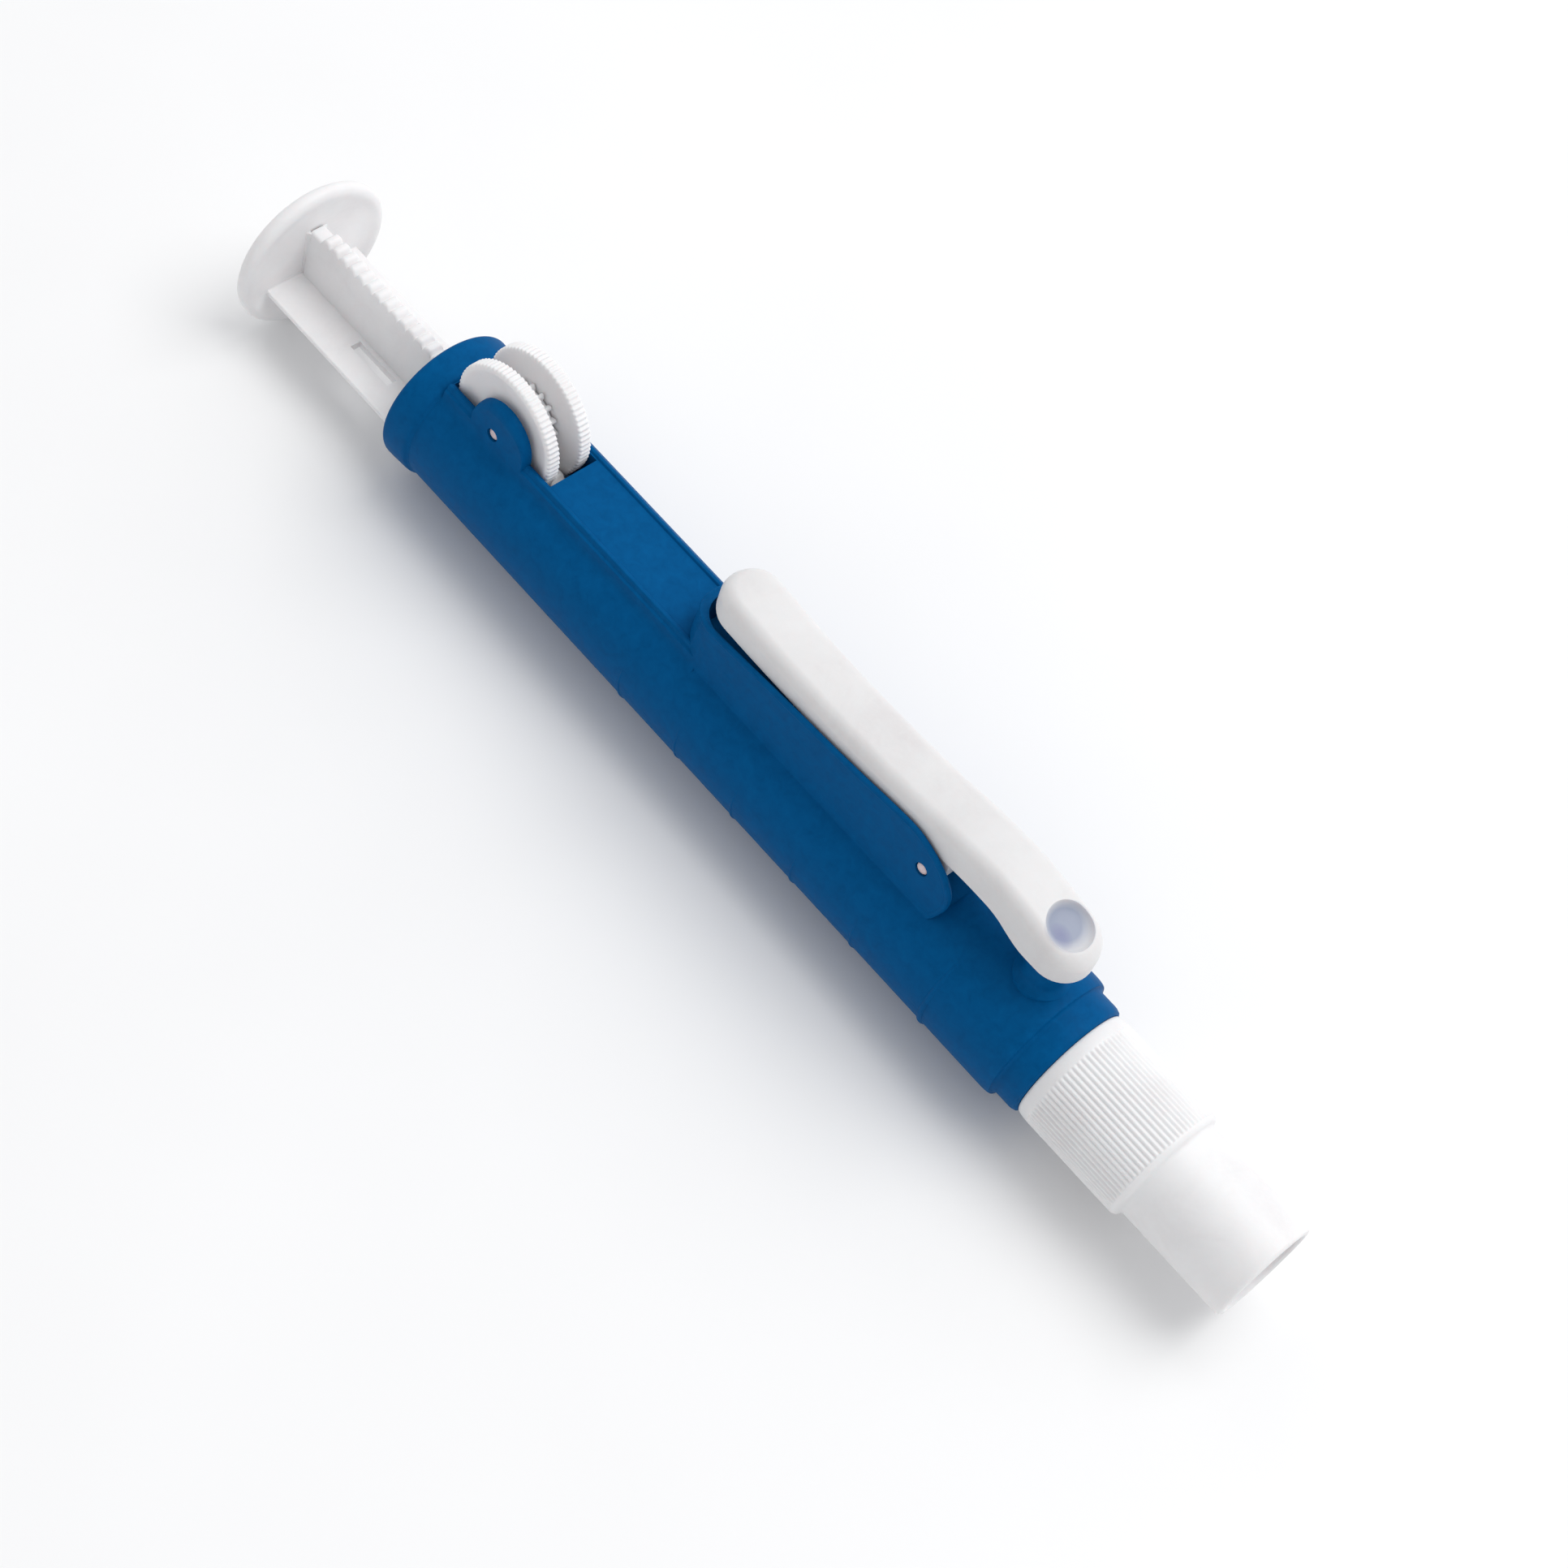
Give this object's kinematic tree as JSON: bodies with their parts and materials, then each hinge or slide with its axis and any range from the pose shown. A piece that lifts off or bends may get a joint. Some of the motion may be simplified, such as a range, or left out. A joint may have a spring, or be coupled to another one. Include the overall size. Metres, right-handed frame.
{
  "type": "pipette pump",
  "caption": "Hand-held pipette pump: rack plunger in a tube barrel, thumbwheel, fast-release lever and a screw-on nose cap with a soft chuck.",
  "frame": {"origin": "centre of the object's box on the surface that it lies on", "axes": "+X along the tool from the thumb disc to the mouth, +Z towards the thumbwheel and lever side"},
  "size_m": [0.1714, 0.0218, 0.0323],
  "materials": {
    "blue_plastic": "satin moulded polypropylene",
    "white_plastic": "satin moulded polypropylene",
    "lever_plastic": "satin translucent white polypropylene",
    "pin_plastic": "satin pale plastic",
    "silicone": "soft translucent silicone",
    "black_rubber": "matte",
    "spring_steel": "drawn wire"
  },
  "bodies": {
    "barrel": {"barrel": "blue_plastic", "end_collar": "blue_plastic", "pump_cylinder": "white_plastic", "cylinder_seal": "black_rubber", "wheel_axle": "pin_plastic", "lever_pin": "pin_plastic", "lever_spring": "spring_steel"},
    "plunger": {"plunger_rod": "white_plastic", "piston_head": "white_plastic", "piston_seal": "black_rubber"},
    "thumbwheel": {"wheel_pinion": "white_plastic", "wheel_flange_near": "white_plastic", "wheel_flange_far": "white_plastic"},
    "lever": {"release_lever": "lever_plastic", "valve_pad": "black_rubber"},
    "chuck": {"chuck_seal": "silicone", "chuck_washer": "white_plastic"},
    "cap": {"nose_cap": "white_plastic"}
  },
  "joints": [
    {"name": "plunger_slide", "type": "slide", "parent": "barrel", "child": "plunger", "axis": [1, 0, 0], "range_m": [-0.0125, 0.0252]},
    {"name": "wheel_spin", "type": "hinge", "parent": "barrel", "child": "thumbwheel", "pos_m": [-0.0447, 0, 0.02083], "axis": [0, 1, 0], "range_deg": [-345, 172]},
    {"name": "lever_press", "type": "hinge", "parent": "barrel", "child": "lever", "pos_m": [0.0295, 0, 0.02413], "axis": [0, -1, 0], "range_deg": [0, 5], "stiffness_Nm_per_rad": 0.02, "springref_deg": -17.19, "deforming": ["lever_spring"]},
    {"name": "chuck_slide", "type": "slide", "parent": "barrel", "child": "chuck", "axis": [1, 0, 0], "range_m": [0, 0.012]},
    {"name": "cap_turn", "type": "hinge", "parent": "chuck", "child": "cap", "pos_m": [0.0542, 0, 0.01093], "axis": [1, 0, 0], "range_deg": [0, 1440]}
  ],
  "couplings": [
    {"joint": "wheel_spin", "follows": "plunger_slide", "rad_per_m": -238.1},
    {"joint": "cap_turn", "follows": "chuck_slide", "rad_per_m": 2094.4}
  ]
}
